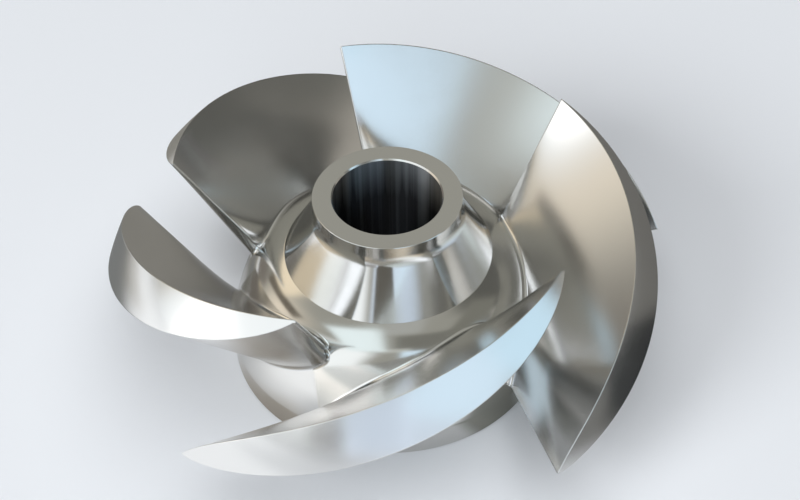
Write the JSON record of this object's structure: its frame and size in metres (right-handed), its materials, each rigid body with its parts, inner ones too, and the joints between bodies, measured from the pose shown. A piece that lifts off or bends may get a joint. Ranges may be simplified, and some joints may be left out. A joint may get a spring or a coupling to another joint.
{
  "type": "pump impeller",
  "caption": "Mixed-flow pump impeller of polished stainless steel: swept wedge-section blades round a domed hub with a bored shaft boss.",
  "frame": {"origin": "shaft axis at the flat back of the hub", "axes": "+Z along the shaft axis, from the hub's flat back towards the shaft boss"},
  "size_m": [0.213, 0.2113, 0.0841],
  "materials": {
    "hub_steel": "polished",
    "boss_steel": "fine turned",
    "blade_steel": "polished"
  },
  "bodies": {
    "root": {"hub": "hub_steel", "shaft_boss": "boss_steel", "blade_1": "blade_steel", "blade_2": "blade_steel", "blade_3": "blade_steel", "blade_4": "blade_steel", "blade_5": "blade_steel"}
  },
  "joints": []
}
